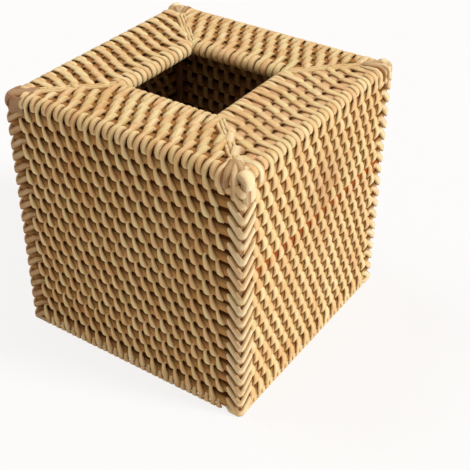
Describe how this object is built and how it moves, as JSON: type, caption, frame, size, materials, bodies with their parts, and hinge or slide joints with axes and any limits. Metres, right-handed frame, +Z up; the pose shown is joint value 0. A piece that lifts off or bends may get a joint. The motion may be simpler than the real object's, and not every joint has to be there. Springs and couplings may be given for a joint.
{
  "type": "tissue box cover",
  "caption": "Square woven rattan cover, open below, that drops over a cube box of tissues, with a wrapped square opening in its mitred top.",
  "frame": {"origin": "centre of the square base, on the surface that the cover stands on", "axes": "+Z up, the front faces -Y and +X is to the right of the front; the four sides are alike"},
  "size_m": [0.14, 0.14, 0.14],
  "materials": {
    "rattan_strand": "satin",
    "rattan_binding": "satin",
    "rattan_core": "matte",
    "rattan_pole": "matte"
  },
  "bodies": {
    "root": {"corner_post_front_left": "rattan_pole", "corner_post_front_right": "rattan_pole", "corner_post_back_right": "rattan_pole", "corner_post_back_left": "rattan_pole", "mitre_rib_front_left": "rattan_pole", "mitre_rib_front_right": "rattan_pole", "mitre_rib_back_right": "rattan_pole", "mitre_rib_back_left": "rattan_pole", "top_rail_front": "rattan_pole", "top_rail_right": "rattan_pole", "top_rail_back": "rattan_pole", "top_rail_left": "rattan_pole", "bottom_rail_front": "rattan_pole", "bottom_rail_right": "rattan_pole", "bottom_rail_back": "rattan_pole", "bottom_rail_left": "rattan_pole", "opening_rail_front": "rattan_pole", "opening_rail_right": "rattan_pole", "opening_rail_back": "rattan_pole", "opening_rail_left": "rattan_pole", "side_stakes_front": "rattan_core", "side_stakes_right": "rattan_core", "side_stakes_back": "rattan_core", "side_stakes_left": "rattan_core", "top_stakes_front": "rattan_core", "top_stakes_right": "rattan_core", "top_stakes_back": "rattan_core", "top_stakes_left": "rattan_core", "side_strands_front": "rattan_strand", "side_strands_right": "rattan_strand", "side_strands_back": "rattan_strand", "side_strands_left": "rattan_strand", "top_strands_front": "rattan_strand", "top_strands_right": "rattan_strand", "top_strands_back": "rattan_strand", "top_strands_left": "rattan_strand", "corner_binding_front_left": "rattan_binding", "corner_binding_front_right": "rattan_binding", "corner_binding_back_right": "rattan_binding", "corner_binding_back_left": "rattan_binding"}
  },
  "joints": []
}
